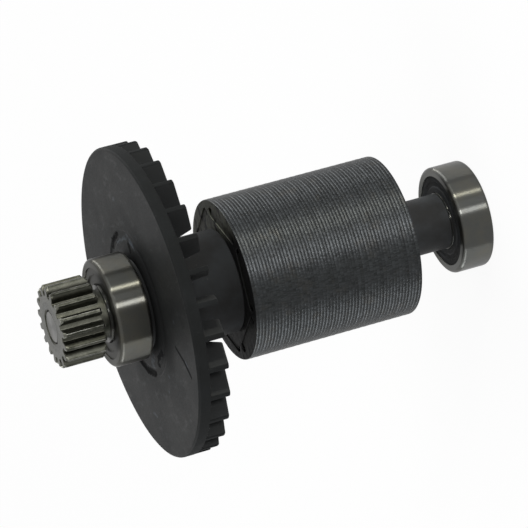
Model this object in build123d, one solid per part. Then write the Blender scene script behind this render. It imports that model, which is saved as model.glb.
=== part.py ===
from build123d import *
import math
import os

# A motor rotor ("armature") with its drive pinion, two ball bearings, cooling fan and
# laminated core with buried flat magnets. It stands on the outer end of its rear bearing:
# z runs up the shaft from that face, azimuth 0 is along +X, and all sizes are millimetres.

# Ball bearings, two alike: 5 x 16 x 5. The groove in the rubber seal starts, ends and slopes
# by shares of the seal's width.
BEARING_BORE = 5.0
BEARING_OD = 16.0
BEARING_WIDTH = 5.0
OUTER_CORNER = 0.5
INNER_CORNER = 0.2
INNER_RING_WALL = 1.75
OUTER_RING_WALL = 1.85
BALL_DIAMETER = 2.778
BALL_COUNT = 7
RACE_CLEARANCE = 0.03
POCKET_CLEARANCE = 0.05
CAGE_BAND = 1.0
CAGE_WALL = 0.2
CAGE_LINK = 0.5
RIVET_RADIUS = 0.3
RIVET_STAND_OUT = 0.12
COVER_LAND = 1.2
COVER_RECESS = 0.15
SHIELD_SHEET = 0.2
SHIELD_DISH = 0.2
SHIELD_GAP = 0.15
SEAL_THICKNESS = 0.45
SEAL_GAP = 0.08
SEAL_GROOVE = 0.15
SEAL_GROOVE_START = 0.3
SEAL_GROOVE_END = 0.7
SEAL_GROOVE_SLOPE = 0.08

# Shaft. The body is thicker than the journals, so that each inner ring has a shoulder.
SHAFT_BODY_DIAMETER = 6.0
SHAFT_CHAMFER = 0.25
SHAFT_FOOT_RECESS = 0.2
SHAFT_NOSE_RECESS = 0.1
SEAT_CLEARANCE = 0.01

# Drive pinion: straight involute teeth, with a hub that spaces it from the bearing. The
# dedendum, and how far the cutter reaches past the tips, are counted in modules.
TOOTH_COUNT = 17
TOOTH_MODULE = 0.65
PRESSURE_ANGLE = 20.0
TOOTH_DEDENDUM = 1.25
TOOTH_OVERCUT = 0.25
TOOTH_FACE = 6.3
TOOTH_PHASE = -85.2
TOOTH_CHAMFER = 0.35
TOOTH_BACKLASH = 0.03
PINION_HUB_RADIUS = 3.6
PINION_HUB_LENGTH = 1.3
PINION_BORE_CHAMFER = 0.2
FLANK_POINTS = 5
FLANK_CROWDING = 1.5

# Cooling fan: a flat disc with straight radial blades on its core side.
FAN_RADIUS = 23.0
FAN_DISC = 1.8
FAN_RIM_ROUND = 0.25
BLADE_COUNT = 30
BLADE_THICKNESS = 0.8
BLADE_TIP_HEIGHT = 2.9
BLADE_PEAK_HEIGHT = 4.4
BLADE_PEAK_RADIUS = 16.95
BLADE_ROOT_RADIUS = 13.75
BLADE_PHASE = -90.4
BOSS_RADIUS = 3.6
BOSS_HEIGHT = 0.7
STEP_RADIUS = 6.7
STEP_HEIGHT = 0.4
FAN_GROOVE_INNER = 9.5
FAN_GROOVE_OUTER = 10.8
FAN_GROOVE_DEPTH = 0.2

# Spacer sleeve between fan and core, and collar between core and rear bearing.
SLEEVE_DIAMETER = 15.4
SLEEVE_LENGTH = 11.6
COLLAR_DIAMETER = 8.3
COLLAR_LENGTH = 8.6
EDGE_CHAMFER = 0.15

# Laminated core with one flat magnet in each chord slot.
CORE_DIAMETER = 23.8
SHEET_THICKNESS = 0.5
SHEET_COUNT = 52
MAGNET_COUNT = 6
MAGNET_THICKNESS = 1.5
MAGNET_RECESS = 0.15
SLOT_CLEARANCE = 0.03
SLOT_BRIDGE = 1.0
SLOT_WEB = 0.9
SLOT_PHASE = 25.0

# Heights along the shaft, each from the pieces stacked below it.
CORE_BASE = BEARING_WIDTH + COLLAR_LENGTH
CORE_LENGTH = SHEET_COUNT * SHEET_THICKNESS
CORE_TOP = CORE_BASE + CORE_LENGTH
FAN_BACK = CORE_TOP + SLEEVE_LENGTH
FAN_FACE = FAN_BACK + FAN_DISC
FRONT_BEARING_BASE = FAN_FACE + BOSS_HEIGHT
PINION_BASE = FRONT_BEARING_BASE + BEARING_WIDTH
TOOTH_BASE = PINION_BASE + PINION_HUB_LENGTH
PINION_TOP = TOOTH_BASE + TOOTH_FACE

# Radii that follow from the bearing's rings.
BEARING_RADIUS = BEARING_OD / 2
JOURNAL_RADIUS = BEARING_BORE / 2 - SEAT_CLEARANCE
INNER_SHOULDER = BEARING_BORE / 2 + INNER_RING_WALL
OUTER_SHOULDER = BEARING_RADIUS - OUTER_RING_WALL
PITCH_RADIUS = (INNER_SHOULDER + OUTER_SHOULDER) / 2
BALL_RADIUS = BALL_DIAMETER / 2
COVER_RADIUS = BEARING_RADIUS - COVER_LAND
SHAFT_BODY_RADIUS = SHAFT_BODY_DIAMETER / 2
BODY_SEAT_RADIUS = SHAFT_BODY_RADIUS + SEAT_CLEARANCE

# Two radii that differ by less than this count as one.
SAME_SIZE = 1e-4


def turned(outline):
    """Solid of revolution about Z of a closed outline of (radius, height) points."""
    points = [(radius, 0, height) for radius, height in outline]
    return revolve(make_face(Polyline(*points, close=True)), Axis.Z)


def around(count, phase=0.0):
    """Turns about Z, one for each of count equal steps, the first at azimuth phase."""
    return [Rot(0, 0, phase + 360 * step / count) for step in range(count)]


def circles_at(solid, radius):
    """Circular edges of a turned solid that have the given radius."""
    circles = solid.edges().filter_by(GeomType.CIRCLE)
    return [edge for edge in circles if abs(edge.radius - radius) < SAME_SIZE]


def tube(outer, inner, base, height, chamfer_size):
    """Plain turned tube whose outer ends are chamfered."""
    top = base + height
    return turned([
        (inner, base), (outer - chamfer_size, base), (outer, base + chamfer_size),
        (outer, top - chamfer_size), (outer - chamfer_size, top), (inner, top),
    ])


# Bearing pieces, each made with the bearing's lower face at z = 0.

def outer_ring():
    """Ring with a ball groove, and a step at each end that seats a shield or seal."""
    seat = COVER_RECESS + SEAL_THICKNESS
    ring = turned([
        (OUTER_SHOULDER, seat), (COVER_RADIUS, seat), (COVER_RADIUS, 0), (BEARING_RADIUS, 0),
        (BEARING_RADIUS, BEARING_WIDTH), (COVER_RADIUS, BEARING_WIDTH),
        (COVER_RADIUS, BEARING_WIDTH - seat), (OUTER_SHOULDER, BEARING_WIDTH - seat),
    ])
    ring = fillet(circles_at(ring, BEARING_RADIUS), OUTER_CORNER)
    return ring - ball_groove()


def inner_ring():
    """Ring that seats on the shaft's journal, with a ball groove round its outside."""
    bore = BEARING_BORE / 2
    ring = turned([
        (bore, 0), (INNER_SHOULDER, 0), (INNER_SHOULDER, BEARING_WIDTH), (bore, BEARING_WIDTH),
    ])
    ring = fillet(circles_at(ring, bore), INNER_CORNER)
    return ring - ball_groove()


def ball_groove():
    """Torus that the balls run in, deeper than a ball by the race clearance."""
    return Pos(0, 0, BEARING_WIDTH / 2) * Torus(PITCH_RADIUS, BALL_RADIUS + RACE_CLEARANCE)


def ball(turn):
    return turn * Pos(PITCH_RADIUS, 0, BEARING_WIDTH / 2) * Sphere(BALL_RADIUS)


def cage():
    """Riveted cage: a round pocket for each ball, cut low between the pockets to a link."""
    pocket = BALL_RADIUS + POCKET_CLEARANCE
    outside = PITCH_RADIUS + CAGE_BAND / 2
    inside = PITCH_RADIUS - CAGE_BAND / 2
    half_height = pocket + CAGE_WALL
    band = Cylinder(outside, 2 * half_height) - Cylinder(inside, 2 * half_height)
    hole = Pos(PITCH_RADIUS, 0, 0) * Rot(0, 90, 0) * Cylinder(pocket, 2 * CAGE_BAND)
    ring = band - [turn * hole for turn in around(BALL_COUNT)]
    chord = 2 * PITCH_RADIUS * math.sin(math.pi / BALL_COUNT)
    relief = Box(2 * CAGE_BAND, chord - 2 * half_height, half_height)
    lift = CAGE_LINK / 2 + half_height / 2
    between = around(BALL_COUNT, 180 / BALL_COUNT)
    for side in (-lift, lift):
        ring -= [turn * Pos(PITCH_RADIUS, 0, side) * relief for turn in between]
    rivet = Cylinder(RIVET_RADIUS, CAGE_LINK + 2 * RIVET_STAND_OUT)
    ring += [turn * Pos(PITCH_RADIUS, 0, 0) * rivet for turn in between]
    return Pos(0, 0, BEARING_WIDTH / 2) * ring


def metal_shield():
    """Thin dished steel shield for the lower end, clear of the inner ring."""
    inside = INNER_SHOULDER + SHIELD_GAP
    middle = (inside + COVER_RADIUS) / 2
    low = COVER_RECESS
    rim = COVER_RECESS + SEAL_THICKNESS
    dish = low + SHIELD_DISH
    wall = COVER_RADIUS - SEAT_CLEARANCE
    return turned([
        (wall, low), (wall, rim), (wall - SHIELD_SHEET, rim),
        (wall - SHIELD_SHEET, low + SHIELD_SHEET), (middle + SHIELD_DISH, low + SHIELD_SHEET),
        (middle, dish + SHIELD_SHEET), (inside, dish + SHIELD_SHEET), (inside, dish),
        (middle, dish), (middle + SHIELD_DISH, low),
    ])


def rubber_seal():
    """Moulded seal for the lower end, with a shallow round groove in its face."""
    inside = INNER_SHOULDER + SEAL_GAP
    wall = COVER_RADIUS - SEAT_CLEARANCE
    span = wall - inside
    low = COVER_RECESS
    top = low + SEAL_THICKNESS
    outline = [(inside, top), (inside, low)]
    start = inside + SEAL_GROOVE_START * span
    end = inside + SEAL_GROOVE_END * span
    slope = SEAL_GROOVE_SLOPE * span
    outline += [(start, low), (start + slope, low + SEAL_GROOVE)]
    outline += [(end - slope, low + SEAL_GROOVE), (end, low)]
    outline += [(wall, low), (wall, top)]
    return turned(outline)


def upper(cover):
    """The same shield or seal, turned over for the bearing's upper end."""
    return Pos(0, 0, BEARING_WIDTH) * Rot(180, 0, 0) * cover


def bearing(name, base, cover, cover_name):
    """All pieces of one bearing whose lower face is at height base."""
    pieces = {
        "outer_ring": outer_ring(),
        "inner_ring": inner_ring(),
        "cage": cage(),
        "lower_" + cover_name: cover,
        "upper_" + cover_name: upper(cover),
    }
    for number, turn in enumerate(around(BALL_COUNT), start=1):
        pieces[f"ball_{number}"] = ball(turn)
    return {f"{name}_{piece}": Pos(0, 0, base) * solid for piece, solid in pieces.items()}


# Pieces of the rotor itself.

def shaft():
    """Stepped shaft: a journal at each end, and the thicker body between the bearings."""
    low = SHAFT_FOOT_RECESS
    high = PINION_TOP - SHAFT_NOSE_RECESS
    nose = JOURNAL_RADIUS - SHAFT_CHAMFER
    return turned([
        (0, low), (nose, low), (JOURNAL_RADIUS, low + SHAFT_CHAMFER),
        (JOURNAL_RADIUS, BEARING_WIDTH), (SHAFT_BODY_RADIUS, BEARING_WIDTH),
        (SHAFT_BODY_RADIUS, FRONT_BEARING_BASE), (JOURNAL_RADIUS, FRONT_BEARING_BASE),
        (JOURNAL_RADIUS, high - SHAFT_CHAMFER), (nose, high), (0, high),
    ])


def involute(angle):
    """Involute function: how far a flank has turned where its pressure angle is angle."""
    return math.tan(angle) - angle


def tooth_space():
    """Outline of the gap between two teeth, centred on azimuth 0, a little past the tip."""
    pitch_radius = TOOTH_MODULE * TOOTH_COUNT / 2
    root_radius = pitch_radius - TOOTH_DEDENDUM * TOOTH_MODULE
    tip_radius = pitch_radius + TOOTH_MODULE
    pressure = math.radians(PRESSURE_ANGLE)
    base_radius = pitch_radius * math.cos(pressure)
    half_gap = math.pi / (2 * TOOTH_COUNT) + TOOTH_BACKLASH / pitch_radius
    over_tip = tip_radius + TOOTH_OVERCUT * TOOTH_MODULE
    flank = []
    for step in range(FLANK_POINTS):
        share = step / (FLANK_POINTS - 1)
        radius = base_radius + (over_tip - base_radius) * share ** FLANK_CROWDING
        turn = half_gap + involute(math.acos(base_radius / radius)) - involute(pressure)
        flank.append((radius * math.cos(turn), radius * math.sin(turn)))
    mirrored = [(x, -y) for x, y in flank]
    start_angle = math.atan2(flank[0][1], flank[0][0])
    root_corner = (root_radius * math.cos(start_angle), root_radius * math.sin(start_angle))
    root_mirror = (root_corner[0], -root_corner[1])
    sides = Spline(*flank) + Spline(*mirrored)
    roots = Line(flank[0], root_corner) + Line(mirrored[0], root_mirror)
    root = ThreePointArc(root_corner, (root_radius, 0), root_mirror)
    tip = Line(flank[-1], mirrored[-1])
    return make_face(sides + roots + root + tip)


def pinion():
    """Spur pinion with chamfered tooth ends, and the hub that meets the inner ring."""
    tip_radius = TOOTH_MODULE * (TOOTH_COUNT + 2) / 2
    blank = tube(tip_radius, JOURNAL_RADIUS + SEAT_CLEARANCE, TOOTH_BASE, TOOTH_FACE, TOOTH_CHAMFER)
    space = Pos(0, 0, TOOTH_BASE) * extrude(tooth_space(), TOOTH_FACE)
    phase = TOOTH_PHASE + 180 / TOOTH_COUNT
    gear = blank - [turn * space for turn in around(TOOTH_COUNT, phase)]
    bore = JOURNAL_RADIUS + SEAT_CLEARANCE
    hub = turned([
        (bore, PINION_BASE), (PINION_HUB_RADIUS, PINION_BASE),
        (PINION_HUB_RADIUS, TOOTH_BASE), (bore, TOOTH_BASE),
    ])
    countersink = turned([
        (0, PINION_TOP - PINION_BORE_CHAMFER - bore), (0, PINION_TOP),
        (bore + PINION_BORE_CHAMFER, PINION_TOP),
    ])
    return gear + hub - countersink


def fan_blade():
    """One flat blade at azimuth 0, rooted in the disc and cut back to the fan's radius."""
    tip = math.sqrt(FAN_RADIUS ** 2 - (BLADE_THICKNESS / 2) ** 2)
    root = FAN_BACK + FAN_DISC / 2
    outline = Polyline(
        (BLADE_ROOT_RADIUS, 0, root), (BLADE_ROOT_RADIUS, 0, FAN_BACK),
        (BLADE_PEAK_RADIUS, 0, FAN_BACK - BLADE_PEAK_HEIGHT),
        (tip, 0, FAN_BACK - BLADE_TIP_HEIGHT), (tip, 0, root),
        close=True,
    )
    return extrude(make_face(outline), BLADE_THICKNESS / 2, both=True)


def fan():
    """Disc with a stepped boss and a shallow round groove in its face, and its blades."""
    groove = FAN_FACE - FAN_GROOVE_DEPTH
    disc = turned([
        (BODY_SEAT_RADIUS, FAN_BACK), (FAN_RADIUS, FAN_BACK), (FAN_RADIUS, FAN_FACE),
        (FAN_GROOVE_OUTER, FAN_FACE), (FAN_GROOVE_OUTER, groove), (FAN_GROOVE_INNER, groove),
        (FAN_GROOVE_INNER, FAN_FACE), (STEP_RADIUS, FAN_FACE),
        (STEP_RADIUS, FAN_FACE + STEP_HEIGHT), (BOSS_RADIUS, FAN_FACE + STEP_HEIGHT),
        (BOSS_RADIUS, FAN_FACE + BOSS_HEIGHT), (BODY_SEAT_RADIUS, FAN_FACE + BOSS_HEIGHT),
    ])
    rim = max(circles_at(disc, FAN_RADIUS), key=lambda edge: edge.center().Z)
    disc = fillet([rim], FAN_RIM_ROUND)
    phase = BLADE_PHASE + 180 / BLADE_COUNT
    return disc + [turn * fan_blade() for turn in around(BLADE_COUNT, phase)]


def slot_places():
    """Distance from the shaft's axis to the middle of a slot, and its magnet's width.

    The centre of a slot's round end lies one bridge and half a slot inside the rim, and one
    web and a whole slot from the nearest end of the next slot.
    """
    slot = MAGNET_THICKNESS + 2 * SLOT_CLEARANCE
    end_radius = CORE_DIAMETER / 2 - SLOT_BRIDGE - slot / 2
    half_web_angle = math.asin((SLOT_WEB + slot) / 2 / end_radius)
    end_angle = math.pi / MAGNET_COUNT - half_web_angle
    width = 2 * (end_radius * math.sin(end_angle) - SLOT_CLEARANCE)
    return end_radius * math.cos(end_angle), width


def lamination_stack():
    """Stack of sheets: a bore for the shaft, and round-ended chord slots for the magnets."""
    distance, width = slot_places()
    height = MAGNET_THICKNESS + 2 * SLOT_CLEARANCE
    slot = SlotCenterToCenter(width + 2 * SLOT_CLEARANCE, height, rotation=90)
    cut = Pos(distance, 0, CORE_BASE) * extrude(slot, CORE_LENGTH)
    core = turned([
        (BODY_SEAT_RADIUS, CORE_BASE), (CORE_DIAMETER / 2, CORE_BASE),
        (CORE_DIAMETER / 2, CORE_TOP), (BODY_SEAT_RADIUS, CORE_TOP),
    ])
    return core - [turn * cut for turn in around(MAGNET_COUNT, SLOT_PHASE)]


def magnet(turn):
    """Flat magnet that lies in a slot, a little short of the stack at each end."""
    distance, width = slot_places()
    length = CORE_LENGTH - 2 * MAGNET_RECESS
    block = Box(MAGNET_THICKNESS, width, length)
    return turn * Pos(distance, 0, CORE_BASE + CORE_LENGTH / 2) * block


def pieces():
    """Every piece of the rotor, by the name of its node."""
    parts = {
        "shaft": shaft(),
        "pinion": pinion(),
        "fan": fan(),
        "spacer_sleeve": tube(
            SLEEVE_DIAMETER / 2, BODY_SEAT_RADIUS, CORE_TOP, SLEEVE_LENGTH, EDGE_CHAMFER
        ),
        "lamination_stack": lamination_stack(),
        "rear_collar": tube(
            COLLAR_DIAMETER / 2, BODY_SEAT_RADIUS, BEARING_WIDTH, COLLAR_LENGTH, EDGE_CHAMFER
        ),
    }
    for number, turn in enumerate(around(MAGNET_COUNT, SLOT_PHASE), start=1):
        parts[f"magnet_{number}"] = magnet(turn)
    parts.update(bearing("front_bearing", FRONT_BEARING_BASE, metal_shield(), "shield"))
    parts.update(bearing("rear_bearing", 0.0, rubber_seal(), "seal"))
    return parts


os.makedirs("parts", exist_ok=True)
for name, solid in pieces().items():
    export_step(solid, f"parts/{name}.step")
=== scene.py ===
# %% [markdown]
# # The rotor of a small motor, dressed for its picture
#
# The packed CAD model already stands in its place, in metres, with the shaft along Z: the
# rear bearing at the bottom, then the core, the fan, the front bearing and the pinion.
# This script adds what a picture needs, which is a camera, a floor, lamps, the finishes of
# the metals and plastics, and a few surfaces that are finer than the CAD solids.

# %% Load the packed model
import math

import bpy
import numpy as np
from mathutils import Matrix, Vector


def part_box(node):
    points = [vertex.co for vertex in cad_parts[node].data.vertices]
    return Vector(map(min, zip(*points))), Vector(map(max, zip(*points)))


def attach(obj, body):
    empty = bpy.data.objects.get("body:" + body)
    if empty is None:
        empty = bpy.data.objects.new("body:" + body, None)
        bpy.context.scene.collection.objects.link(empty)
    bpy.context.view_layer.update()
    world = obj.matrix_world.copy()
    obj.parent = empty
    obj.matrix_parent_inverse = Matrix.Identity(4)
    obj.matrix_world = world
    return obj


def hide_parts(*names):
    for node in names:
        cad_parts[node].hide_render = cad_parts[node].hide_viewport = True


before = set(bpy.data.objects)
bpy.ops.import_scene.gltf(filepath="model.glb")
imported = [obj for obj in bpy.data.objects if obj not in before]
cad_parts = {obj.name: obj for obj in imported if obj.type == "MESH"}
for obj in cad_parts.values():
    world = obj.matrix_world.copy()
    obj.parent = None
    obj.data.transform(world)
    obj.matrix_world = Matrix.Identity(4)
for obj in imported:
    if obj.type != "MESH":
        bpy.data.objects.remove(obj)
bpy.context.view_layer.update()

MM = 0.001

# %% [markdown]
# ## Camera
#
# The photograph was taken from half a metre with a long lens, and the shaft lies across
# it from the lower left to the upper right. The shaft stands upright here, so the camera
# is rolled a little more than a quarter turn instead: laying the part down would take it
# out of the place that its CAD model has. Elevation and roll were found by fitting the
# outlines of the turned pieces, which are ellipses in the picture.

# %% Camera
FOCAL_LENGTH = 238.6
SENSOR_WIDTH = 36.0
CAMERA_PLACE = (0.72, -483.8, 188.1)
CAMERA_ELEVATION = math.radians(17.76)
CAMERA_ROLL = math.radians(-105.28)
NEAR_CLIP = 0.01
FAR_CLIP = 20.0


def camera_axes(elevation, roll):
    """Right, up and backward axes of a camera that looks along +Y and down by elevation.

    Level axes: right is +X, and up is tilted back by the elevation. The roll then turns
    both about the line of sight, by right' = cos(roll) right + sin(roll) up.
    """
    level_right = Vector((1, 0, 0))
    level_up = Vector((0, math.sin(elevation), math.cos(elevation)))
    right = math.cos(roll) * level_right + math.sin(roll) * level_up
    up = math.cos(roll) * level_up - math.sin(roll) * level_right
    return right, up, right.cross(up)


lens = bpy.data.cameras.new("camera")
lens.lens = FOCAL_LENGTH
lens.sensor_width = SENSOR_WIDTH
lens.clip_start, lens.clip_end = NEAR_CLIP, FAR_CLIP
camera = bpy.data.objects.new("camera", lens)
bpy.context.scene.collection.objects.link(camera)
axes = Matrix(camera_axes(CAMERA_ELEVATION, CAMERA_ROLL)).transposed().to_4x4()
camera.matrix_world = Matrix.Translation(Vector(CAMERA_PLACE) * MM) @ axes
bpy.context.scene.camera = camera
bpy.context.scene.view_settings.view_transform = "Standard"
print("camera axes:", [tuple(round(x, 4) for x in axis) for axis in axes.to_3x3().transposed()])

# %% [markdown]
# ## A small language for finishes
#
# A finish is a tree of shader nodes, and most of a tree is arithmetic: a noise times a
# number, one minus a mask. Placing Math nodes by hand hides that, so a socket is wrapped in
# a class whose operators add the nodes. A finish is then written as a formula.

# %% Wires


class Wire:
    """An output socket. Arithmetic on it adds Math nodes to its tree."""

    def __init__(self, tree, socket):
        self.tree, self.socket = tree, socket

    def maths(self, operation, *operands):
        """The result of one Math node on wires or numbers."""
        return self.tree.node("ShaderNodeMath", {"operation": operation}, dict(enumerate(operands)))

    def __add__(self, other):
        return self.maths("ADD", self, other)

    def __radd__(self, other):
        return self.maths("ADD", other, self)

    def __sub__(self, other):
        return self.maths("SUBTRACT", self, other)

    def __rsub__(self, other):
        return self.maths("SUBTRACT", other, self)

    def __mul__(self, other):
        return self.maths("MULTIPLY", self, other)

    def __rmul__(self, other):
        return self.maths("MULTIPLY", other, self)

    def __truediv__(self, other):
        return self.maths("DIVIDE", self, other)

    def __rtruediv__(self, other):
        return self.maths("DIVIDE", other, self)

    def __abs__(self):
        return self.maths("ABSOLUTE", self)

    def root(self):
        return self.maths("SQRT", self)

    def floor(self):
        return self.maths("FLOOR", self)

    def fraction(self):
        return self.maths("FRACT", self)

    def at_most(self, other):
        return self.maths("MINIMUM", self, other)

    def at_least(self, other):
        return self.maths("MAXIMUM", self, other)

    def step(self, low, high):
        """0 below low, 1 above high and a smooth S between, or the reverse if low > high."""
        return self.tree.node(
            "ShaderNodeMapRange", {"interpolation_type": "SMOOTHSTEP"},
            {"Value": self, "From Min": low, "From Max": high},
        )

    def band(self, middle, half_width, blur):
        """1 within half a width of the middle, fading to 0 over the blur."""
        return abs(self - middle).step(half_width + blur, half_width)


print("wire methods:", [name for name in vars(Wire) if not name.startswith("_")])

# %% Trees and finishes


class Tree:
    """A shader node tree, and the methods that write nodes into it."""

    def __init__(self, tree):
        self.nodes, self.links = tree.nodes, tree.links

    def node(self, kind, settings=None, inputs=None, outlet=0):
        """One node: its settings are set first, then its sockets get values or wires."""
        made = self.nodes.new(kind)
        for name, value in (settings or {}).items():
            setattr(made, name, value)
        for name, value in (inputs or {}).items():
            if isinstance(value, Wire):
                self.links.new(value.socket, made.inputs[name])
            else:
                made.inputs[name].default_value = value
        return Wire(self, made.outputs[outlet])

    def outlets(self, wire, *names):
        """Further outputs of the node that a wire comes from."""
        return [Wire(self, wire.socket.node.outputs[name]) for name in names]

    def seen(self):
        """1 for what the camera sees, straight or in a reflection or refraction, else 0."""
        path = self.node("ShaderNodeLightPath")
        kinds = self.outlets(path, "Is Camera Ray", "Is Glossy Ray", "Is Transmission Ray")
        return (kinds[0] + kinds[1] + kinds[2]).at_most(1.0)


class Finish(Tree):
    """A material with one Principled shader, whose patterns are laid out in millimetres."""

    def __init__(self, name, **constants):
        self.material = bpy.data.materials.new(name)
        self.material.use_nodes = True
        super().__init__(self.material.node_tree)
        self.shader = self.nodes["Principled BSDF"]
        self.end = self.nodes["Material Output"]
        for socket, value in constants.items():
            self.shader.inputs[socket.replace("_", " ")].default_value = value
        place = self.node("ShaderNodeTexCoord", outlet="Object")
        self.place = self.node(
            "ShaderNodeVectorMath", {"operation": "SCALE"}, {0: place, "Scale": 1 / MM}
        )
        self.x, self.y, self.z = self.split(self.place)

    def split(self, vector):
        """The three numbers of a vector."""
        return self.outlets(self.node("ShaderNodeSeparateXYZ", {}, {0: vector}), 0, 1, 2)

    def join(self, x, y, z):
        """The vector of three numbers."""
        return self.node("ShaderNodeCombineXYZ", {}, {0: x, 1: y, 2: z})

    def radius(self):
        """Distance from the shaft's axis in millimetres."""
        return (self.x * self.x + self.y * self.y).root()

    def azimuth(self):
        """Angle about the shaft's axis in degrees, from -180 to 180."""
        return self.x.maths("ARCTAN2", self.y, self.x) * (180 / math.pi)

    def noise(self, scale, detail, roughness, place=None, offset=0.0):
        """Fractal noise from about 0.3 to 0.7, its scale in waves per millimetre."""
        return self.node(
            "ShaderNodeTexNoise", {"noise_dimensions": "4D"},
            {"Vector": place or self.place, "W": offset, "Scale": scale, "Detail": detail,
             "Roughness": roughness},
        )

    def chance(self, number):
        """A value from 0 to 1 that is different for each whole number."""
        return self.node("ShaderNodeTexWhiteNoise", {"noise_dimensions": "1D"}, {"W": number})

    def specks(self, scale, size, offset):
        """1 inside small round specks and 0 elsewhere: cells nearer to their seed than size."""
        cells = self.node(
            "ShaderNodeTexVoronoi", {"voronoi_dimensions": "4D"},
            {"Vector": self.place, "W": offset, "Scale": scale},
        )
        return cells.step(size, size * 0.6)

    def mix(self, share, first, second):
        """Colour that goes from first at share 0 to second at share 1."""
        return self.node(
            "ShaderNodeMix", {"data_type": "RGBA"},
            {0: share, 6: self.colour(first), 7: self.colour(second)}, outlet=2,
        )

    def colour(self, value):
        """A wire as it is, and red, green and blue with a full alpha."""
        return value if isinstance(value, Wire) else (*value, 1)

    def bump(self, height, depth):
        """Normal of a surface whose relief is height times depth millimetres."""
        return self.node(
            "ShaderNodeBump", {}, {"Height": height, "Distance": depth * MM, "Strength": 1.0}
        )

    def paint(self, **wires):
        """Link wires to the shader's inputs, and give the finished material."""
        for socket, wire in wires.items():
            self.links.new(wire.socket, self.shader.inputs[socket.replace("_", " ")])
        return self.material


trial = Finish("trial")
print("a finish starts with", len(trial.nodes), "nodes")
bpy.data.materials.remove(trial.material)

# %% [markdown]
# ## Floor, world and lamps
#
# The rotor was photographed on white. The floor is a plain matt white, and to the camera
# and in reflections it is mostly replaced by a white that gives off its own light, so the
# background is white while a soft shadow stays. Turned steel shows its light as streaks
# along the axis, and each streak is one lamp. One great soft light would leave no streak, so
# two small lamps stand where the streaks of the bearing rings ask for them, and broad
# panels fill the rest.

# %% Floor
FLOOR_HALF_WIDTH = 2.5
FLOOR_GLOW = 1.07
FLOOR_GLOW_SHARE = 0.85

reach = FLOOR_HALF_WIDTH
floor_corners = [(-reach, -reach, 0), (reach, -reach, 0), (reach, reach, 0), (-reach, reach, 0)]
floor_mesh = bpy.data.meshes.new("floor")
floor_mesh.from_pydata(floor_corners, [], [(0, 1, 2, 3)])
floor = bpy.data.objects.new("floor", floor_mesh)
bpy.context.scene.collection.objects.link(floor)
floor_finish = Finish(
    "white_floor", Base_Color=(0.9, 0.9, 0.9, 1), Roughness=0.9, Specular_IOR_Level=0.0
)
glow = floor_finish.node("ShaderNodeEmission", {}, {"Strength": FLOOR_GLOW})
whitened = floor_finish.node(
    "ShaderNodeMixShader", {},
    {0: floor_finish.seen() * FLOOR_GLOW_SHARE,
     1: Wire(floor_finish, floor_finish.shader.outputs[0]), 2: glow},
)
floor_finish.links.new(whitened.socket, floor_finish.end.inputs["Surface"])
floor_mesh.materials.append(floor_finish.material)
print("floor", 2 * FLOOR_HALF_WIDTH, "m wide")

# %% World
WORLD_STRENGTH = 0.26

world = bpy.data.worlds.new("studio")
world.use_nodes = True
bpy.context.scene.world = world
background = world.node_tree.nodes["Background"]
background.inputs["Color"].default_value = (1, 1, 1, 1)
studio = Tree(world.node_tree)
strength = studio.seen() * (1 - WORLD_STRENGTH) + WORLD_STRENGTH
studio.links.new(strength.socket, background.inputs["Strength"])
print("world strength", WORLD_STRENGTH, "on the object, 1 where it is seen")

# %% Lamps
LAMP_TARGET = Vector((0, 0, 30)) * MM


def lamp(name, azimuth, elevation, distance, width, height, power, colour=(1, 1, 1)):
    """Area lamp that faces the rotor from an azimuth and elevation in degrees.

    Its height stays upright: the lamp looks along its -Z, so its Z is the direction back
    from the target and its Y is as near to the shaft's direction as it can be.
    """
    a, e = math.radians(azimuth), math.radians(elevation)
    back = Vector((math.cos(a) * math.cos(e), math.sin(a) * math.cos(e), math.sin(e)))
    light = bpy.data.lights.new(name, "AREA")
    light.shape, light.size, light.size_y = "RECTANGLE", width, height
    light.energy, light.color = power, colour
    made = bpy.data.objects.new(name, light)
    bpy.context.scene.collection.objects.link(made)
    turn = back.to_track_quat("Z", "Y")
    place = Matrix.Translation(LAMP_TARGET + back * distance)
    made.matrix_world = place @ turn.to_matrix().to_4x4()
    return made


# For each lamp: azimuth and elevation in degrees, distance, width and height in metres,
# power in watts, and its colour where it isn't white.
lamps = [
    lamp("key_lamp", -83.4, 3.0, 1.2, 0.175, 0.16, 8.0),
    lamp("second_lamp", -48, 3.0, 1.2, 0.10, 0.16, 5.8, (1.0, 0.98, 0.86)),
    lamp("soft_panel", -67, 4.0, 1.3, 0.30, 0.20, 1.2, (0.90, 0.94, 1.0)),
    lamp("fill_panel", -36, 8.0, 1.3, 0.90, 0.30, 3.2, (0.93, 0.97, 1.0)),
    lamp("side_panel", 22, 6.0, 1.3, 1.4, 0.24, 12.0),
    lamp("low_panel", 166, 6.0, 1.3, 1.4, 0.24, 12.0, (0.96, 0.98, 1.0)),
    lamp("overhead_panel", -60, 65.0, 1.3, 0.8, 0.8, 2.5),
]
print("lamps:", [made.name for made in lamps])

# %% [markdown]
# ## Surfaces from numbers
#
# Every new piece below is a grid of points: one direction goes round the piece, the other
# along or across it. Numpy works out all points at once, and the faces are the same
# pattern of quads for every grid, so one function numbers them and another makes the mesh.

# %% Grids of points
SHARP_ANGLE = math.radians(40)


def grid_faces(rows, columns, close_rows=True):
    """Quads of a grid whose points are numbered row by row.

    A quad joins (i, j), (i, j+1), (i+1, j+1) and (i+1, j). Each row is a ring, so its last
    point is followed by its first, and closed rows follow each other in the same way.
    """
    last = rows if close_rows else rows - 1
    i, j = np.meshgrid(np.arange(last), np.arange(columns), indexing="ij")
    i, j = i.ravel(), j.ravel()
    up, along = (i + 1) % rows, (j + 1) % columns
    return np.stack(
        [i * columns + j, i * columns + along, up * columns + along, up * columns + j], axis=1
    )


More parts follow.
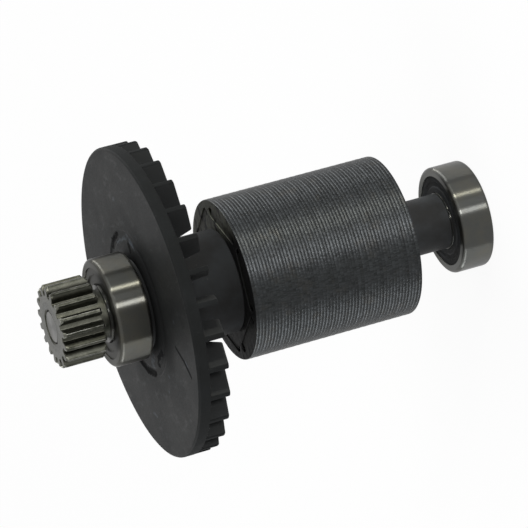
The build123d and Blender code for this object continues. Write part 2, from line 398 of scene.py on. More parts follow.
def make_piece(name, points, faces, body, finish, replaces=()):
    """Mesh object from points in millimetres, which rides on a body and has a finish."""
    mesh = bpy.data.meshes.new(name)
    mesh.from_pydata((points.reshape(-1, 3) * MM).tolist(), [], faces)
    mesh.materials.append(finish)
    mesh.polygons.foreach_set("use_smooth", np.ones(len(mesh.polygons), bool))
    mesh.set_sharp_from_angle(angle=SHARP_ANGLE)
    piece = bpy.data.objects.new(name, mesh)
    bpy.context.scene.collection.objects.link(piece)
    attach(piece, body)
    if replaces:
        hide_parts(*replaces)
    print(f"{name}: {len(mesh.vertices)} points, {len(mesh.polygons)} faces")


print("a 3 x 4 closed grid has", len(grid_faces(3, 4)), "quads")

# %% Profiles
ARC_POINTS = 5
FLAT_MARGIN = 0.04


def round_corners(corners, radii):
    """Closed outline of the corners, each replaced by an arc that touches both its sides.

    At a corner the unit vectors towards its neighbours are a and b. The arc's centre lies
    along a + b, at radius / sin(half the corner's angle), and its end normals are turned
    into each other in equal shares and made unit length again. One more point on each
    side, a margin away, keeps the shading of the flats flat.
    """
    corners = np.asarray(corners, float)
    radii = np.asarray(radii, float)[:, None]
    a = np.roll(corners, 1, axis=0) - corners
    b = np.roll(corners, -1, axis=0) - corners
    a /= np.linalg.norm(a, axis=1, keepdims=True)
    b /= np.linalg.norm(b, axis=1, keepdims=True)
    cosine = (a * b).sum(1, keepdims=True)
    half_sine, half_cosine = np.sqrt((1 - cosine) / 2), np.sqrt((1 + cosine) / 2)
    middle = (a + b) / np.linalg.norm(a + b, axis=1, keepdims=True)
    centre = corners + middle * radii / half_sine
    reach = radii * half_cosine / half_sine
    start, end = corners + a * reach - centre, corners + b * reach - centre
    share = np.linspace(0, 1, ARC_POINTS)[None, :, None]
    arc = start[:, None] * (1 - share) + end[:, None] * share
    arc *= radii[:, None] / np.linalg.norm(arc, axis=2, keepdims=True)
    before = corners + a * (reach + FLAT_MARGIN)
    after = corners + b * (reach + FLAT_MARGIN)
    rounded = [before[:, None], centre[:, None] + arc, after[:, None]]
    return np.concatenate(rounded, axis=1).reshape(-1, 2)


def turn_profile(profile, columns):
    """Grid of a closed (radius, height) profile turned about the shaft's axis.

    Point (i, j) is profile point i at angle 2 pi j / columns.
    """
    angle = np.linspace(0, 2 * np.pi, columns, endpoint=False)
    radius, height, angle = np.broadcast_arrays(profile[:, :1], profile[:, 1:], angle)
    return np.stack([radius * np.cos(angle), radius * np.sin(angle), height], axis=2)


def normals_of(outline):
    """Outward unit normals of a closed counterclockwise outline in a plane.

    At each point the tangent runs from the point before to the point after, and the
    normal is the tangent turned a quarter clockwise.
    """
    tangent = np.roll(outline, -1, axis=0) - np.roll(outline, 1, axis=0)
    tangent /= np.linalg.norm(tangent, axis=1, keepdims=True)
    return np.stack([tangent[:, 1], -tangent[:, 0]], axis=1)


square = round_corners([(0, 0), (1, 0), (1, 1), (0, 1)], [0.1, 0.1, 0.1, 0.1])
print("a square with round corners has", len(square), "points")

# %% [markdown]
# ## Steel finishes
#
# The bearing rings are ground, and grinding leaves fine lines round the ring. Such lines
# spread a reflection across themselves, so a lamp becomes a streak along the axis. Cut
# lines would have to be finer than a pixel, so the shader does the same with its
# anisotropy, turned by a quarter, on a dark steel base. A tint at the edges keeps oiled
# steel from going white where it is seen at a low angle.

# %% Ground steel
QUARTER_TURN = 0.25
OIL_SHARE = 0.4
DIRT_SHARE = 0.35
LINES_ROUND = 0.02
LINES_ALONG = 7.0
GRINDING_DEPTH = 0.0002


def steel(name, base, roughness, anisotropy=0.0, edge=1.0):
    """Steel that is warmer in oily patches and darker in fine dirt, with grinding lines.

    The lines are a noise whose waves are short along the axis and very long round it. The
    edge is the share of the reflection that stays where the steel is seen at a low angle.
    """
    finish = Finish(
        name, Metallic=1.0, Anisotropic=anisotropy,
        Anisotropic_Rotation=QUARTER_TURN if anisotropy else 0.0,
        Specular_Tint=(edge, edge, edge, 1),
    )
    cloud = finish.noise(0.35, 3.0, 0.6)
    fine = finish.noise(3.0, 4.0, 0.7, offset=2.0)
    drawn_out = finish.join(finish.x * LINES_ROUND, finish.y * LINES_ROUND, finish.z * LINES_ALONG)
    line = finish.noise(1.0, 3.0, 0.7, drawn_out, 5.0)
    warm = (1.3 * base[0], 1.2 * base[1], base[2])
    dark = tuple(0.6 * part for part in base)
    colour = finish.mix(cloud.step(0.4, 0.7) * OIL_SHARE, base, warm)
    colour = finish.mix(fine.step(0.55, 0.75) * DIRT_SHARE, colour, dark)
    return finish.paint(
        Base_Color=colour,
        Roughness=roughness + (fine - 0.5) * 0.03 + (line - 0.5) * 0.02,
        Normal=finish.bump(line + fine * 0.1, GRINDING_DEPTH),
    )


front_ring_steel = steel("front_ring_steel", (0.064, 0.064, 0.058), 0.28, 1.0, edge=0.6)
rear_ring_steel = steel("rear_ring_steel", (0.066, 0.067, 0.063), 0.28, 1.0, edge=0.8)
print("steel for the rings:", front_ring_steel.name, rear_ring_steel.name)

# %% Other metals
shield_steel = steel("shield_sheet_steel", (0.038, 0.038, 0.034), 0.32, edge=0.62)
ball_steel = steel("ball_steel", (0.5, 0.5, 0.5), 0.08)
cage_steel = steel("cage_sheet_steel", (0.35, 0.34, 0.32), 0.3)
shaft_steel = steel("shaft_steel", (0.070, 0.070, 0.066), 0.35, 0.5)
print("other steels:", shield_steel.name, ball_steel.name, cage_steel.name, shaft_steel.name)

# %% [markdown]
# ## Black plastic and rubber
#
# The fan and the sleeve are black filled nylon, and the seal is black rubber. Both soak up
# nearly all light, also at a low angle, because their surface is full of fine pits. So the
# gloss is set very low, and what shows is a fine grain, a few pale rubs and dust.

# %% Moulded black pieces
DUST = (0.12, 0.12, 0.11)


def black_moulding(name, base, roughness, gloss):
    """Black nylon or rubber as it leaves the mould: fine grain, pale rubs and a few specks."""
    finish = Finish(name, Specular_IOR_Level=gloss)
    cloud = finish.noise(0.22, 3.0, 0.6)
    fine = finish.noise(3.0, 4.0, 0.65, offset=3.0)
    dust = finish.specks(1.1, 0.10, 1.0) * fine.step(0.45, 0.6)
    pale = (base * 1.5, base * 1.6, base * 1.7)
    colour = finish.mix(cloud.step(0.35, 0.7), (base, base, base), pale)
    colour = finish.mix(dust * 0.4, colour, DUST)
    return finish.paint(
        Base_Color=colour, Roughness=roughness + (fine - 0.5) * 0.3 + (cloud - 0.5) * 0.2,
        Normal=finish.bump(fine, 0.02),
    )


sleeve_plastic = black_moulding("sleeve_plastic", 0.0095, 0.6, 0.04)
collar_plastic = black_moulding("collar_plastic", 0.016, 0.5, 0.06)
seal_rubber = black_moulding("seal_rubber", 0.030, 0.6, 0.04)
print("black pieces:", sleeve_plastic.name, collar_plastic.name, seal_rubber.name)

# %% [markdown]
# ## Varnish on the core's ends
#
# The core was dipped in varnish, which dried in olive lobes and stayed thin and nearly
# black elsewhere. The lobes could be lumps of their own, but they are thinner than a hair,
# so they are a change of colour and a little bump: a noise drawn out along X makes the runs,
# and a step along X keeps their pale colour to the +X side, which faces the light, so the
# paleness on that one side is painted light.

# %% Varnish
LIT_SIDE_START = 4.5
LIT_SIDE_FULL = 7.5
VARNISH_GRIME = (0.010, 0.010, 0.009)


def end_varnish(name, dark, pale):
    """Dark varnish with runs that are pale, as painted light, on the side towards +X, which is up
    in the picture.
    """
    finish = Finish(name, Specular_IOR_Level=0.04)
    drawn_out = finish.join(finish.x * 0.22, finish.y * 0.9, finish.z * 0.3)
    runs = finish.noise(1.0, 3.0, 0.6, drawn_out, 2.0)
    fine = finish.noise(2.0, 4.0, 0.65, offset=3.0)
    # Painted light: the runs are pale only on the +X side, where the light falls.
    lit_side_runs = runs.step(0.38, 0.52) * finish.x.step(LIT_SIDE_START, LIT_SIDE_FULL)
    colour = finish.mix(lit_side_runs, dark, pale)
    colour = finish.mix(fine.step(0.52, 0.72) * 0.5, colour, VARNISH_GRIME)
    return finish.paint(
        Base_Color=colour, Roughness=0.5 + (fine - 0.5) * 0.3,
        Normal=finish.bump(runs * 4 + fine, 0.03),
    )


core_varnish = end_varnish("core_end_varnish", (0.011, 0.011, 0.011), (0.105, 0.108, 0.088))
magnet_varnish = end_varnish("magnet_varnish", (0.016, 0.016, 0.015), (0.125, 0.125, 0.105))
print("varnish:", core_varnish.name, magnet_varnish.name)

# %% [markdown]
# ## A finish for each piece
#
# The CAD pieces come with no finish. Each could be named in a list of 36, but most names end
# in the kind of piece and perhaps a number, as in front_bearing_ball_3, so a short table of
# kinds dresses them all. The front bearing's outer ring has its own steel, a little warmer
# than the rear one's. The fan and the pinion are covered by finer surfaces later on.

# %% Finishes on the CAD nodes
FINISHES = {
    "shaft": shaft_steel, "pinion": shaft_steel, "fan": sleeve_plastic,
    "spacer_sleeve": sleeve_plastic, "lamination_stack": core_varnish,
    "rear_collar": collar_plastic, "magnet": magnet_varnish,
    "front_bearing_outer_ring": front_ring_steel, "ring": rear_ring_steel,
    "cage": cage_steel, "shield": shield_steel, "seal": seal_rubber, "ball": ball_steel,
}


def finish_of(node):
    """Finish of a node: under its own name, or else under the last word before its number."""
    kind = node.rstrip("0123456789").rstrip("_").split("_")[-1]
    return FINISHES[node if node in FINISHES else kind]


for node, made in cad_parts.items():
    if not made.material_slots:
        made.data.materials.append(None)
    for slot in made.material_slots:
        slot.material = finish_of(node)
print("finishes:", sorted(FINISHES))

# %% [markdown]
# ## Edges of the core's sheets
#
# The core is a pile of thin punched sheets. Seen from the side each sheet is a narrow
# band with rounded edges, and the gap between two of them is a fine dark line. The CAD
# solid is one smooth block. A bump could draw the lines on it, but not break up its
# outline, so a thin skin with one groove for each gap goes over it.

# %% Profile of the sheet edges
SHEET_COUNT = 52
SKIN_PROUD = 0.075
SKIN_LIFT = 0.004
SKIN_DEPTH = 0.3
SHEET_SPREAD = 0.15
SHEET_PHASE = 2.4
BEAD_PLACES = np.array([-0.95, -0.76, -0.42, 0.0, 0.42, 0.76, 0.95])


def sheet_profile(base, top, radius):
    """Closed profile of the skin: a flat bead for each sheet, and a plain inner wall.

    Sheet k spans heights base + k pitch to base + (k + 1) pitch. Across it, with u from -1
    to 1, the bead stands out by proud (1 - u^4) (1 - u^2 / 3), which is nearly flat in the
    middle and falls away to both edges. The sine of k times a phase gives each sheet a
    share of its own of that height, as no two line up exactly.
    """
    sheet, u = np.arange(SHEET_COUNT)[:, None], BEAD_PLACES
    own = SKIN_PROUD * (1 - SHEET_SPREAD + SHEET_SPREAD * np.sin(sheet * SHEET_PHASE))
    out = radius + SKIN_LIFT + own * (1 - u ** 4) * (1 - u ** 2 / 3)
    height = base + (top - base) / SHEET_COUNT * (sheet + (1 + u) / 2)
    outer = np.stack([out.ravel(), height.ravel()], axis=1)
    inside = radius - SKIN_DEPTH
    inner = np.array([[inside, height[-1, -1]], [inside, height[0, 0]]])
    return np.concatenate([outer, inner])


def node_box(node):
    """Lowest and highest corner of a CAD node in millimetres."""
    return [np.array(corner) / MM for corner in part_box(node)]


core_low, core_high = node_box("lamination_stack")
profile = sheet_profile(core_low[2], core_high[2], core_high[0])
print("profile of the sheet edges:", len(profile), "points")

# %% Finish of the sheet edges
SHEET_DARK = (0.022, 0.023, 0.023)
SHEET_PALE = (0.045, 0.048, 0.050)
SHEET_RUBBED = (0.038, 0.036, 0.032)
SHEET_GAP = (0.012, 0.013, 0.013)


def sheet_edge_finish(base, pitch):
    """Punched sheet edges: every sheet has a tone of its own, dashes and rub marks.

    The number of the sheet is the whole part of (height - base) / pitch. It is the third
    coordinate of the streaks and dashes, so that they end where their sheet does.
    """
    finish = Finish(
        "sheet_edge_steel", Metallic=1.0, Anisotropic=0.5, Anisotropic_Rotation=QUARTER_TURN,
        Specular_Tint=(0.65, 0.65, 0.65, 1),
    )
    sheet = ((finish.z - base) / pitch).floor()
    own = finish.chance(sheet)
    streak_place = finish.join(finish.x * 3.6, finish.y * 3.6, sheet * 7.3)
    streak = finish.noise(1.0, 3.0, 0.65, streak_place, 4.0)
    dash_place = finish.join(finish.x * 5.0, finish.y * 5.0, sheet * 3.1)
    dash = finish.noise(1.0, 1.0, 0.5, dash_place, 6.0)
    rub = finish.noise(0.5, 3.0, 0.7, offset=9.0)
    tone = own * 0.35 + streak.step(0.3, 0.7) * 0.65
    colour = finish.mix(tone, SHEET_DARK, SHEET_PALE)
    colour = finish.mix(rub.step(0.52, 0.70) * 0.5, colour, SHEET_RUBBED)
    colour = finish.mix(dash.step(0.50, 0.62) * 0.45, colour, SHEET_GAP)
    return finish.paint(
        Base_Color=colour, Roughness=0.36 + own * 0.04 + (streak - 0.5) * 0.12,
        Normal=finish.bump(streak, 0.035),
    )


core_edge_steel = sheet_edge_finish(core_low[2], (core_high[2] - core_low[2]) / SHEET_COUNT)
print("sheet edges:", core_edge_steel.name)

# %% Core skin
SKIN_COLUMNS = 232

skin_points = turn_profile(profile, SKIN_COLUMNS)
skin_faces = grid_faces(len(profile), SKIN_COLUMNS).tolist()
make_piece("core_sheet_edges", skin_points, skin_faces, "rotor", core_edge_steel)

# %% [markdown]
# ## Fan
#
# The fan is one moulding: a disc with a soft round groove and a stepped boss on its face,
# and straight blades on its back. A mould leaves no sharp edge, and the rounded edges are
# what catches the light on black plastic, so the fan is built again with them. The disc is
# a turned profile, and a blade is a flat outline whose rim is rounded over.

# %% Fan disc
FAN_COLUMNS = 240
BORE_CLEARANCE = 0.01
DISC_THICKNESS = 1.8
BOSS_RADIUS = 3.6
BOSS_HEIGHT = 0.7
STEP_RADIUS = 6.7
STEP_HEIGHT = 0.4
GROOVE_INNER = 9.4
GROOVE_OUTER = 11.0
GROOVE_DEPTH = 0.2
GROOVE_WALL = 0.35

fan_low, fan_high = node_box("fan")
fan_radius = fan_high[0]
shaft_radius = node_box("shaft")[1][0]
face = fan_high[2] - BOSS_HEIGHT
back = face - DISC_THICKNESS
groove_floor = face - GROOVE_DEPTH
hole_radius = shaft_radius + BORE_CLEARANCE
# For each corner: its radius, its height and how far it is rounded.
disc_corners = np.array([
    (hole_radius, back, 0.05), (fan_radius, back, 0.12), (fan_radius, face, 0.40),
    (GROOVE_OUTER, face, 0.25), (GROOVE_OUTER - GROOVE_WALL, groove_floor, 0.25),
    (GROOVE_INNER + GROOVE_WALL, groove_floor, 0.25), (GROOVE_INNER, face, 0.25),
    (STEP_RADIUS, face, 0.08), (STEP_RADIUS, face + STEP_HEIGHT, 0.12),
    (BOSS_RADIUS, face + STEP_HEIGHT, 0.06), (BOSS_RADIUS, face + BOSS_HEIGHT, 0.08),
    (hole_radius, face + BOSS_HEIGHT, 0.05),
])
disc_profile = round_corners(disc_corners[:, :2], disc_corners[:, 2])
disc_points = turn_profile(disc_profile, FAN_COLUMNS).reshape(-1, 3)
disc_faces = grid_faces(len(disc_profile), FAN_COLUMNS)
print("disc profile:", len(disc_profile), "points")

# %% One fan blade
BLADE_THICKNESS = 0.8
BLADE_ROUNDING = 0.16
BLADE_TIP_HEIGHT = 2.9
BLADE_PEAK_RADIUS = 16.95
BLADE_ROOT_RADIUS = 13.75
PLATE_ROWS = 4
PLATE_INSET = 0.05


def rounded_plate(outline, half_thickness, rounding):
    """Closed plate: an outline in (radius, height), thick to both sides of the plane y = 0.

    Row k is the outline drawn in along its normals by rounding (1 - cos a), at
    y = half thickness - rounding (1 - sin a), for angles a from a quarter turn down to
    none. The rows are then mirrored, and an outermost row a little further in holds the
    flat side, which is one face.
    """
    angle = np.linspace(np.pi / 2, 0, PLATE_ROWS)
    drawn = np.append(rounding + PLATE_INSET, rounding * (1 - np.cos(angle)))
    side = np.append(half_thickness, half_thickness - rounding * (1 - np.sin(angle)))
    drawn, side = np.append(drawn, drawn[::-1]), np.append(side, -side[::-1])
    inside = outline - normals_of(outline) * drawn[:, None, None]
    side = np.broadcast_to(side[:, None], inside.shape[:2])
    return np.stack([inside[..., 0], side, inside[..., 1]], axis=2)


tip_radius = math.sqrt(fan_radius ** 2 - (BLADE_THICKNESS / 2) ** 2)
disc_middle = back + DISC_THICKNESS / 2
blade_corners = np.array([
    (BLADE_ROOT_RADIUS, disc_middle, 0.02), (BLADE_ROOT_RADIUS, back, 0.02),
    (BLADE_PEAK_RADIUS, fan_low[2], 0.35), (tip_radius, back - BLADE_TIP_HEIGHT, 0.30),
    (tip_radius, disc_middle, 0.02),
])
blade_outline = round_corners(blade_corners[:, :2], blade_corners[:, 2])
blade = rounded_plate(blade_outline, BLADE_THICKNESS / 2, BLADE_ROUNDING)
print("blade:", blade.shape[0], "rows of", blade.shape[1], "points")

# %% [markdown]
# ## Marks and finish of the fan
#
# The fan's face has been knocked and scratched in use, and a pale arc by its groove is a
# painted highlight. A picture of the scratches would tie the finish to one size and one
# view, so each mark is a short stroke between two points, worked out in the shader, and a
# noise bends the strokes and breaks them up. The rest of the finish is clouds, rubs and dust
# as on the other black pieces, with more gloss on the face, which was polished in the mould,
# with painted shade near the bearing and painted light on the blades' sides.

# %% Marks on the fan's face
# Each mark: where its stroke starts and ends in x and y, and its half width, all in mm.
DARK_MARKS = [
    ((-7.5, -13.0), (-9.6, -15.1), 0.14), ((-9.6, -15.1), (-11.7, -16.4), 0.18),
    ((-8.0, 7.1), (-9.6, 4.5), 0.30), ((-9.6, 4.5), (-10.5, 1.1), 0.35),
    ((-9.4, -1.8), (-8.4, -2.8), 0.22), ((-8.4, -2.8), (-7.6, -5.4), 0.25),
    ((10.5, 1.4), (9.9, 4.3), 0.18), ((9.9, 4.3), (8.8, 5.7), 0.15),
    ((8.3, -3.4), (7.6, -3.2), 0.35),
]
# The first four pale marks, an arc along the inner edge of the groove, are a painted highlight; the
# others are scratches and specks.
PALE_MARKS_AND_HIGHLIGHT = [
    ((9.2, 2.8), (9.5, -0.7), 0.12), ((9.5, -0.7), (9.7, -3.0), 0.20),
    ((9.7, -3.0), (8.5, -4.5), 0.14), ((8.5, -4.5), (7.6, -5.2), 0.08),
    ((-7.9, -0.4), (-9.0, 1.0), 0.45), ((-9.5, -15.6), (-10.6, -16.3), 0.05),
    ((-3.8, -15.2), (-4.0, -15.0), 0.08), ((-11.3, -5.8), (-11.2, -5.6), 0.10),
    ((-13.4, -3.8), (-13.4, -3.6), 0.08), ((9.0, -7.9), (9.1, -7.8), 0.06),
    ((15.2, -1.6), (15.5, -2.2), 0.12), ((-16.5, 6.0), (-15.9, 7.4), 0.08),
]
STROKE_BLUR = 0.25


def stroke(x, y, start, end, half_width):
    """1 within half a width of the straight line from start to end, and 0 further off.

    The nearest point of the line lies at the share ((p - start) . along) / |along|^2 of
    it, kept from 0 to 1, and the stroke is a step of the distance to that point.
    """
    along = (end[0] - start[0], end[1] - start[1])
    square = along[0] ** 2 + along[1] ** 2
    share = ((x - start[0]) * along[0] + (y - start[1]) * along[1]) / square
    share = share.at_least(0.0).at_most(1.0)
    aside = x - start[0] - share * along[0]
    above = y - start[1] - share * along[1]
    return (aside * aside + above * above).root().step(half_width + STROKE_BLUR, half_width)


def strokes(x, y, marks):
    """The sum of several strokes, at most 1."""
    total = stroke(x, y, *marks[0])
    for mark in marks[1:]:
        total = total + stroke(x, y, *mark)
    return total.at_most(1.0)


print("marks:", len(DARK_MARKS), "dark and", len(PALE_MARKS_AND_HIGHLIGHT), "pale")

# %% Fan finish
NYLON = (0.0075, 0.0080, 0.0080)
NYLON_CLOUD = (0.0110, 0.0118, 0.0122)
NYLON_RUBBED = (0.030, 0.032, 0.033)
NYLON_BEARING_SHADE = (0.0028, 0.0030, 0.0030)
NYLON_PAINTED_FILL = (0.028, 0.029, 0.029)
SCRATCHED_AND_HIGHLIGHT = (0.050, 0.060, 0.070)
GOUGED = (0.0006, 0.0006, 0.0008)
# Painted shade near the bearing: where it starts, where it is full, and the azimuth, towards the
# camera, where it is strongest.
BEARING_SHADE_START = 15.5
BEARING_SHADE_FULL = 10.5
BEARING_SHADE_AZIMUTH = -92


def fan_finish(face, back, fan_radius):
    """Black nylon, smoother on the fan's face than on its rim and blades.

    The face is what lies high, or inside the rim and above the disc's back, which takes in
    its groove. Within a radius it is darkened as painted shade, the reflection of the dark
    bearing, most of all towards the camera's azimuth, and it is rougher there. The blades'
    sides are made paler as painted light against their own shadow.
    """
    finish = Finish("fan_plastic", Specular_IOR_Level=0.08)
    radius, azimuth = finish.radius(), finish.azimuth()
    inside_rim = radius.step(fan_radius - 0.5, fan_radius - 0.8)
    above_back = finish.z.step(back + 0.3, back + 0.6)
    on_face = finish.z.step(face - 0.35, face - 0.05).at_least(inside_rim * above_back)
    # Painted light: the blades' sides, short of their tips, are made paler against their own
    # shadow.
    painted_fill_on_blades = finish.z.step(back, back - 0.2) * radius.step(fan_radius - 0.05, fan_radius - 0.25)
    cloud = finish.noise(0.16, 4.0, 0.6)
    fine = finish.noise(3.0, 4.0, 0.65, offset=3.0)
    drawn_out = finish.join(finish.x * 1.6, finish.y * 0.7, finish.z)
    rub = finish.noise(0.5, 5.0, 0.65, drawn_out, 6.0)
    dust = finish.specks(1.0, 0.09, 1.0) * fine.step(0.45, 0.6) * on_face
    # Painted shade: the face is darkened where it reflects the dark bearing, most of all towards
    # the camera.
    bearing_reflection_shade = radius.step(BEARING_SHADE_START, BEARING_SHADE_FULL) * on_face
    bearing_reflection_shade = bearing_reflection_shade * (azimuth.band(BEARING_SHADE_AZIMUTH, 30, 40) * 0.75 + 0.25)
    bend = finish.noise(1.3, 3.0, 0.7, offset=8.0)
    blotch = finish.noise(2.2, 3.0, 0.7, offset=9.0).step(0.36, 0.56)
    x, y = finish.x + (bend - 0.5) * 1.6, finish.y + (bend - 0.5) * 1.2
    pale_marks_and_highlight, dark_marks = strokes(x, y, PALE_MARKS_AND_HIGHLIGHT), strokes(x, y, DARK_MARKS)
    colour = finish.mix(cloud.step(0.35, 0.7), NYLON, NYLON_CLOUD)
    colour = finish.mix(rub.step(0.56, 0.74) * 0.5 * on_face, colour, NYLON_RUBBED)
    colour = finish.mix(bearing_reflection_shade * 0.6, colour, NYLON_BEARING_SHADE)
    # Painted light on the blades' shadowed sides.
    colour = finish.mix(painted_fill_on_blades * 0.8, colour, NYLON_PAINTED_FILL)
    # Pale scratches, and the painted highlight along the groove's inner edge.
    colour = finish.mix(pale_marks_and_highlight * blotch * on_face * 0.8, colour, SCRATCHED_AND_HIGHLIGHT)
    colour = finish.mix(dark_marks * on_face * (0.35 + 0.4 * blotch), colour, GOUGED)
    colour = finish.mix(dust * 0.35, colour, DUST)
    rough = 0.88 - on_face * 0.36 + (fine - 0.5) * 0.2 + (cloud - 0.5) * 0.25
    rough = rough - rub.step(0.5, 0.7) * 0.05 + bearing_reflection_shade * 0.2 + painted_fill_on_blades * 0.1 + dark_marks * 0.3
    return finish.paint(
        Base_Color=colour, Roughness=rough, Normal=finish.bump(fine + rub * 0.8, 0.02)
    )


fan_plastic = fan_finish(face, back, fan_radius)
print("fan finish:", fan_plastic.name)

# %% Fan
BLADE_COUNT = 30
BLADE_FIRST = -84.4

turn = np.radians(BLADE_FIRST + 360 / BLADE_COUNT * np.arange(BLADE_COUNT))[:, None, None]
across, aside, height = blade[..., 0], blade[..., 1], blade[..., 2]
blade_points = np.stack([
    across * np.cos(turn) - aside * np.sin(turn),
    across * np.sin(turn) + aside * np.cos(turn),
    np.broadcast_to(height, (BLADE_COUNT, *height.shape)),
], axis=3)
rows, columns = height.shape
quads = grid_faces(rows, columns, close_rows=False)
sides = np.array([np.arange(columns)[::-1], (rows - 1) * columns + np.arange(columns)])
first_points = len(disc_points) + rows * columns * np.arange(BLADE_COUNT)[:, None, None]
fan_points = np.concatenate([disc_points, blade_points.reshape(-1, 3)])
fan_faces = disc_faces.tolist()
fan_faces += (first_points + quads).reshape(-1, 4).tolist()
fan_faces += (first_points + sides).reshape(-1, columns).tolist()
make_piece(
    "fan_moulding", fan_points, fan_faces, "rotor", fan_plastic, ["fan"]
)

# %% [markdown]
# ## Pinion
#
# The pinion's teeth are cut, so their flanks are involutes and their tips turned. Its edges
# were broken by a brush and are worn pale, and the edge that faces the light carries a
# painted highlight as well; they are the brightest lines on it. A bevel on the CAD solid
# would catch on its fine triangles, so one new grid covers it: its columns follow the
# outline of the seventeen teeth, and its rows go from the bore over the hub, along the
# teeth and over the end face back into the bore.

# %% Outline of the teeth
TOOTH_COUNT = 17
TOOTH_MODULE = 0.65
PRESSURE_ANGLE = math.radians(20)
TOOTH_FIRST = -85.2
TOOTH_BACKLASH = 0.03
CREST_ROUNDING = 0.07
FOOT_ROUNDING = 0.12
FOOT_REACH = 0.16
ROOT_DEPTH = 1.25
FLANK_POINTS = 7
CORNER_POINTS = 4
CREST_POINTS = 5

pitch_radius = TOOTH_MODULE * TOOTH_COUNT / 2
crest_radius = pitch_radius + TOOTH_MODULE
root_radius = pitch_radius - ROOT_DEPTH * TOOTH_MODULE
base_radius = pitch_radius * math.cos(PRESSURE_ANGLE)


def involute(angle):
    """How far a flank has turned where its pressure angle is angle: tan(angle) - angle."""
    return np.tan(angle) - angle


def tooth_outline():
    """Outline of all the teeth, counterclockwise: one tooth, then turned copies of it.

    At radius r a flank lies at half angle pi / (2 count) - backlash / pitch radius
    + involute(pressure angle) - involute(acos(base radius / r)) from the tooth's middle.
    Below the base circle it is straight and ends in a small fillet, and at the crest a
    rounding takes it over to the crest's arc.
    """
    flank = np.linspace(base_radius, crest_radius - CREST_ROUNDING, FLANK_POINTS)
    half = np.pi / (2 * TOOTH_COUNT) - TOOTH_BACKLASH / pitch_radius + involute(PRESSURE_ANGLE)
    half = half - involute(np.arccos(base_radius / flank))
    arc = np.linspace(0, np.pi / 2, CORNER_POINTS)[1:]
    crest = crest_radius - CREST_ROUNDING * (1 - np.sin(arc))
    crest_half = half[-1] - CREST_ROUNDING * (1 - np.cos(arc)) / crest_radius
    foot = root_radius + FOOT_ROUNDING * (1 - np.cos(arc))
    foot_half = half[0] + FOOT_ROUNDING * (1 - np.sin(arc)) / root_radius
    radius = np.concatenate([[root_radius], foot, flank, crest])
    angle = np.concatenate([[half[0] + FOOT_REACH / root_radius], foot_half, half, crest_half])
    top = np.linspace(-crest_half[-1], crest_half[-1], CREST_POINTS)[1:-1]
    radius = np.concatenate([radius, np.full(len(top), crest_radius), radius[::-1]])
    angle = np.concatenate([-angle, top, angle[::-1]])
    turn = math.radians(TOOTH_FIRST) + 2 * np.pi / TOOTH_COUNT * np.arange(TOOTH_COUNT)[:, None]
    angle = (turn + angle).ravel()
    radius = np.tile(radius, TOOTH_COUNT)
    return np.stack([radius * np.cos(angle), radius * np.sin(angle)], axis=1), crest_half[-1]


teeth, crest_half_angle = tooth_outline()
print("teeth:", len(teeth), "points round, crest half angle", round(crest_half_angle, 4))

# %% Rows of the pinion
HUB_LENGTH = 1.3
HUB_RADIUS = 3.6
END_CHAMFER = 0.35
BORE_CHAMFER = 0.2
EDGE_BREAK = 0.05
FLANK_MARGIN = 0.1
JOURNAL_STEP = 0.5

pinion_low, pinion_high = node_box("pinion")
bore = shaft_radius - JOURNAL_STEP
foot_height = pinion_low[2] + HUB_LENGTH
top_height = pinion_high[2]
crest_at_end = crest_radius - END_CHAMFER
toothed = 1.0
plain = 0.0
# For each row: whether it follows the teeth, its radius or largest radius, how far it is
# drawn in, and its height.
pinion_rows = np.array([
    (plain, bore, 0, pinion_low[2]), (plain, HUB_RADIUS, 0, pinion_low[2]),
    (plain, HUB_RADIUS, 0, foot_height), (toothed, crest_at_end, EDGE_BREAK, foot_height),
    (toothed, crest_at_end, 0, foot_height + EDGE_BREAK),
    (toothed, crest_radius, 0, foot_height + END_CHAMFER),
    (toothed, crest_radius, 0, foot_height + END_CHAMFER + FLANK_MARGIN),
    (toothed, crest_radius, 0, top_height - END_CHAMFER - FLANK_MARGIN),
    (toothed, crest_radius, 0, top_height - END_CHAMFER),
    (toothed, crest_at_end, 0, top_height - EDGE_BREAK),
    (toothed, crest_at_end, EDGE_BREAK, top_height),
    (toothed, crest_at_end - EDGE_BREAK, 2 * EDGE_BREAK, top_height),
    (plain, bore + BORE_CHAMFER + EDGE_BREAK, 0, top_height),
    (plain, bore + BORE_CHAMFER, 0, top_height),
    (plain, bore, 0, top_height - BORE_CHAMFER),
])


def pinion_surface(outline, rows):
    """Closed grid of the pinion: row k is its share of the outline and of a plain circle.

    The outline is drawn in along its normals, and where it would reach past the row's
    radius it is pulled back to it. A plain row has that radius all round.
    """
    share, limit, drawn, height = (rows[:, k, None] for k in range(4))
    inside = outline - normals_of(outline) * drawn[:, :, None]
    length = np.linalg.norm(inside, axis=2)
    kept = share * np.minimum(length, limit) + (1 - share) * limit
    flat = inside * (kept / length)[:, :, None]
    return np.concatenate([flat, np.broadcast_to(height, length.shape)[:, :, None]], axis=2)


pinion_points = pinion_surface(teeth, pinion_rows)
print("pinion:", pinion_points.shape[0], "rows of", pinion_points.shape[1], "points")

# %% Pinion finish
CUT_STEEL = (0.030, 0.031, 0.024)
CUT_STEEL_CLOUD = (0.060, 0.060, 0.049)
CUT_STEEL_DIRT = (0.018, 0.018, 0.014)
GAP_STEEL = (0.085, 0.085, 0.070)
NICKED_STEEL = (0.16, 0.16, 0.14)
WORN_EDGE_AND_HIGHLIGHT = (0.26, 0.26, 0.24)


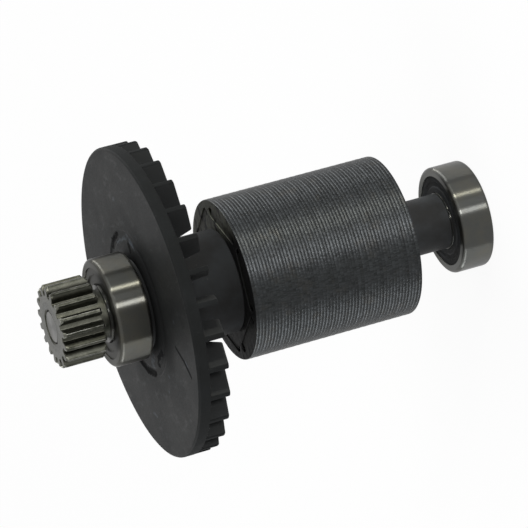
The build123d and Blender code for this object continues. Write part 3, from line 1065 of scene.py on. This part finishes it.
def pinion_finish():
    """Oiled dark steel with bright broken edges along the crests and at the tooth ends.

    The place round the tooth is the fraction of the azimuth over one tooth's angle, taken
    from the tooth's middle and turned into millimetres at the crest. The edges are worn
    pale, and the one on each tooth's counterclockwise side, which faces +X and the light on
    the teeth that are seen, also carries a painted highlight, so it is brighter than the
    other one; the gaps are brighter than the crests.
    """
    finish = Finish("pinion_cut_steel", Metallic=1.0)
    pitch_angle = 360 / TOOTH_COUNT
    share = ((finish.azimuth() - TOOTH_FIRST) / pitch_angle + 0.5).fraction() - 0.5
    aside = share * (math.radians(pitch_angle) * crest_radius)
    radius = finish.radius()
    broken = finish.noise(0.9, 2.0, 0.5, offset=1.0).step(0.30, 0.60)
    corner = crest_half_angle * crest_radius + 0.015
    # Painted highlight on top of the worn edges: the counterclockwise edge, which faces +X and the
    # light on the teeth that are seen, is wider and brighter than the other one.
    side = aside.band(corner, 0.015, 0.03) + aside.band(-corner, 0.005, 0.03) * 0.35
    edge = side * radius.step(crest_radius - 0.10, crest_radius - 0.04)
    half_length = (top_height - foot_height) / 2
    between_ends = finish.z.band(foot_height + half_length, half_length - 0.42, 0.08)
    nicks = (1 - between_ends) * radius.step(crest_at_end - 0.10, crest_at_end + 0.05)
    cloud = finish.noise(0.8, 3.0, 0.6)
    fine = finish.noise(5.0, 3.0, 0.7, offset=2.0)
    in_gap = radius.step(crest_radius - 0.08, crest_radius - 0.35)
    in_gap = in_gap * radius.step(HUB_RADIUS, HUB_RADIUS + 0.3)
    colour = finish.mix(cloud.step(0.4, 0.65), CUT_STEEL, CUT_STEEL_CLOUD)
    colour = finish.mix(fine.step(0.56, 0.72) * 0.5, colour, CUT_STEEL_DIRT)
    colour = finish.mix(in_gap * 0.5, colour, GAP_STEEL)
    colour = finish.mix(nicks * broken * 0.5, colour, NICKED_STEEL)
    colour = finish.mix(edge * broken * 0.8, colour, WORN_EDGE_AND_HIGHLIGHT)
    return finish.paint(
        Base_Color=colour, Roughness=0.38 + (fine - 0.5) * 0.25 + (cloud - 0.5) * 0.15,
        Normal=finish.bump(fine * 0.6 + cloud, 0.02),
    )


pinion_faces = grid_faces(len(pinion_rows), len(teeth)).tolist()
make_piece(
    "pinion_teeth", pinion_points, pinion_faces, "rotor", pinion_finish(),
    ["pinion"],
)

# %% [markdown]
# ## The end
#
# The view layer is updated once more, so that every piece stands where its body puts it.

# %% The end
bpy.context.view_layer.update()
